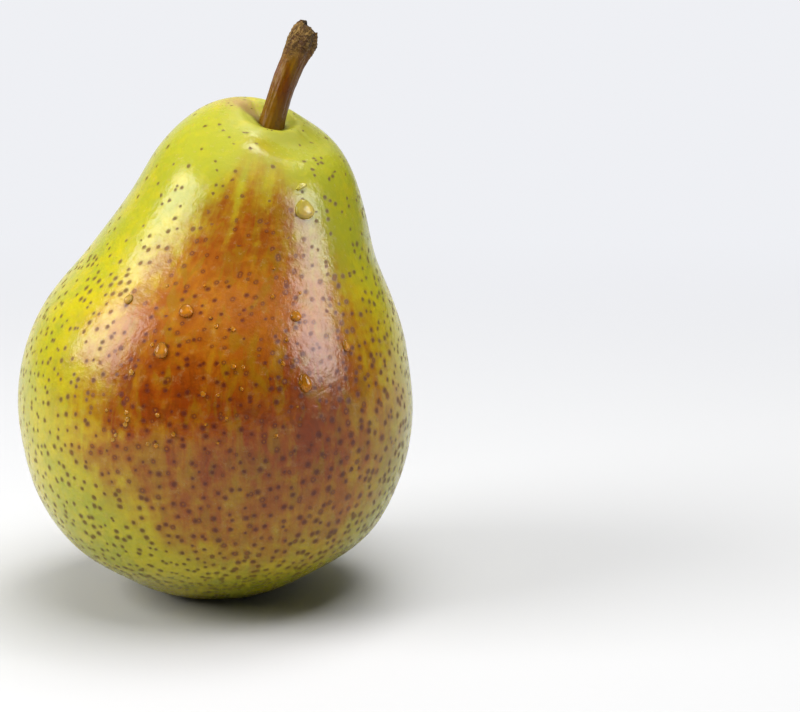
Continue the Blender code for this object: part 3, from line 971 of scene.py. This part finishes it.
class PEAR_OT_drops(Operator):
    """Lay the drops of water on the skin"""

    bl_idname = "pear.drops"
    bl_label = "Water drops"

    def execute(self, context):
        settings = context.scene.pear_drops
        fine = fine_drops(settings.small)
        grids = [drop_cap(row[:2], *row[2:], rows=14, columns=32) for row in DROPS]
        grids += [drop_cap(row[:2], *row[2:], rows=6, columns=12) for row in fine]
        vertices, faces = join_surfaces(grids)
        piece = make_piece("water_drops", vertices, faces, water_material(settings))
        over_blush, gathered = [], []
        for grid, drop in zip(grids, [*DROPS, *fine]):
            rows, columns = grid.shape[:2]
            round_drop = np.linspace(0, 2 * math.pi, columns, endpoint=False)
            low_end = 0.5 + 0.5 * np.cos(round_drop + math.pi / 4)[None, :]
            inward = np.linspace(0, 1, rows)[:, None]
            # Painted light: bright towards a drop's crown and its low end, with painted shade at its foot along
            # the edge
            light = smooth_rise(inward + 0.35 * low_end, 0.45, 0.95) * (0.35 + 0.65 * low_end)
            gathered += [*light.ravel(), light[0].mean(), light[-1].mean()]
            over_blush += [float(np.clip(blush_mask(*drop[:2]), 0, 1))] * (rows * columns + 2)
        add_attribute(piece, "over_blush", over_blush)
        add_attribute(piece, "gathered", gathered)
        return {"FINISHED"}


def looking_along(place, back):
    """Where a lamp or camera stands whose back is turned one way, as a matrix."""
    return Matrix.Translation(place) @ back.to_track_quat("Z", "Y").to_matrix().to_4x4()


def softbox(name, turn, rise, distance, size, power):
    """An area light that faces the pear. Turn 0 is beside the camera, and positive turns go right."""
    data = bpy.data.lights.new(name, "AREA")
    data.shape = "RECTANGLE"
    data.size, data.size_y = size
    data.energy = power
    lamp = bpy.data.objects.new(name, data)
    a, e = math.radians(turn), math.radians(rise)
    back = Vector((math.sin(a) * math.cos(e), -math.cos(a) * math.cos(e), math.sin(e)))
    lamp.matrix_world = looking_along(Vector(LIGHT_AIM) + distance * back, back)
    bpy.context.scene.collection.objects.link(lamp)
    return lamp


def set_world(colour):
    """A pale background. What lights the pear is dimmer: bright behind it and overhead, less at the
    right, and darkest from the camera's side."""
    world = bpy.data.worlds.new("studio_air")
    bpy.context.scene.world = world
    world.use_nodes = True
    nodes, links = world.node_tree.nodes, world.node_tree.links
    shown = nodes["Background"]
    shown.inputs["Color"].default_value = (*colour, 1.0)
    lit = nodes.new("ShaderNodeBackground")
    way = nodes.new("ShaderNodeTexCoord")
    split = nodes.new("ShaderNodeSeparateXYZ")
    links.new(way.outputs["Generated"], split.inputs["Vector"])

    def rise(value, start, end, high):
        """A smooth step of a value from start to end, up to high."""
        node = nodes.new("ShaderNodeMapRange")
        node.interpolation_type = "SMOOTHSTEP"
        links.new(value, node.inputs["Value"])
        for name, number in (("From Min", start), ("From Max", end), ("To Min", 0.0), ("To Max", high)):
            node.inputs[name].default_value = number
        return node.outputs["Result"]

    def join(operation, first, second):
        """One sum of two values."""
        node = nodes.new("ShaderNodeMath")
        node.operation = operation
        for socket, value in zip(node.inputs, (first, second)):
            if isinstance(value, float):
                socket.default_value = value
            else:
                links.new(value, socket)
        return node.outputs["Value"]

    behind = rise(split.outputs["Y"], 0.50, 0.97, 0.85)
    right = rise(split.outputs["X"], 0.05, 0.55, 0.80)
    overhead = rise(split.outputs["Z"], 0.50, 0.95, 0.40)
    glow = join("ADD", join("MAXIMUM", join("SUBTRACT", behind, right), 0.04), overhead)
    links.new(glow, lit.inputs["Strength"])
    lit.inputs["Color"].default_value = (*colour, 1.0)
    path = nodes.new("ShaderNodeLightPath")
    mix = nodes.new("ShaderNodeMixShader")
    links.new(path.outputs["Is Camera Ray"], mix.inputs["Fac"])
    links.new(lit.outputs["Background"], mix.inputs[1])
    links.new(shown.outputs["Background"], mix.inputs[2])
    links.new(mix.outputs["Shader"], nodes["World Output"].inputs["Surface"])


def set_camera():
    """The camera, which looks at the pear from the photograph's side and height."""
    data = bpy.data.cameras.new("camera")
    data.lens = CAMERA_LENS
    data.sensor_width = CAMERA_SENSOR
    camera = bpy.data.objects.new("camera", data)
    back = Vector((0.0, -math.cos(CAMERA_RISE), math.sin(CAMERA_RISE)))
    camera.matrix_world = looking_along(Vector(CAMERA_TARGET) + CAMERA_DISTANCE * back, back)
    bpy.context.scene.collection.objects.link(camera)
    bpy.context.scene.camera = camera


def floor_material(settings):
    """Matt pale floor that turns into the background's own light away from the pear."""
    look = Shading("floor_finish")
    axes = look.nodes.new("ShaderNodeSeparateXYZ")
    look.put(axes.inputs["Vector"], look.place)
    x, y = axes.outputs["X"], axes.outputs["Y"]
    away = look.math("SQRT", look.total(look.product(x, x), look.product(y, y)))
    far = look.math("MAXIMUM", look.ramp(y, -0.02, 0.40), look.ramp(away, 0.08, 0.45))
    look.finish(
        Base_Color=look.mix(far, settings.floor, BLACK),
        Emission_Color=settings.air,
        Emission_Strength=far,
        Specular_IOR_Level=0.0,
        Roughness=0.6,
    )
    return look.material


class PEAR_OT_stage(Operator):
    """Make the floor, the lights, the background and the camera"""

    bl_idname = "pear.stage"
    bl_label = "Stage"

    def execute(self, context):
        settings = context.scene.pear_stage
        mesh = bpy.data.meshes.new("floor")
        corners = [(x * FLOOR_REACH, y * FLOOR_REACH, 0) for x, y in ((-1, -1), (1, -1), (1, 1), (-1, 1))]
        mesh.from_pydata(corners, [], [(0, 1, 2, 3)])
        mesh.materials.append(floor_material(settings))
        floor = bpy.data.objects.new("floor", mesh)
        context.scene.collection.objects.link(floor)
        lamps = {name: softbox(name, *place, getattr(settings, power)) for name, *place, power in SOFTBOXES}
        lamps["right_softbox"].visible_diffuse = False
        lamps["right_fill"].visible_glossy = False
        set_world(settings.air)
        set_camera()
        context.scene.view_settings.view_transform = "Standard"
        return {"FINISHED"}


class PEAR_PT_panel(Panel):
    """The pear's pieces and their settings"""

    bl_label = "Pear"
    bl_space_type = "VIEW_3D"
    bl_region_type = "UI"
    bl_category = "Pear"

    def draw(self, context):
        for operator, group in STEPS:
            box = self.layout.box()
            box.operator(operator.bl_idname)
            settings = getattr(context.scene, group)
            for name in type(settings).__annotations__:
                box.prop(settings, name)


GROUPS = (
    ("pear_skin", SkinSettings),
    ("pear_stem", StemSettings),
    ("pear_eye", EyeSettings),
    ("pear_drops", DropSettings),
    ("pear_stage", StageSettings),
)
STEPS = (
    (PEAR_OT_skin, "pear_skin"),
    (PEAR_OT_stem, "pear_stem"),
    (PEAR_OT_eye, "pear_eye"),
    (PEAR_OT_drops, "pear_drops"),
    (PEAR_OT_stage, "pear_stage"),
)
CLASSES = [group for _, group in GROUPS] + [operator for operator, _ in STEPS] + [PEAR_PT_panel]


def register():
    """Register the classes and give the scene its settings"""
    for item in CLASSES:
        bpy.utils.register_class(item)
    for name, group in GROUPS:
        setattr(bpy.types.Scene, name, PointerProperty(type=group))


def unregister():
    """Take the settings and the classes away again"""
    for name, _ in GROUPS:
        delattr(bpy.types.Scene, name)
    for item in reversed(CLASSES):
        bpy.utils.unregister_class(item)


def main():
    """Makes every piece and the stage."""
    register()
    bpy.ops.pear.skin()
    bpy.ops.pear.stem()
    bpy.ops.pear.eye()
    bpy.ops.pear.drops()
    bpy.ops.pear.stage()


if __name__ == "__main__":
    main()
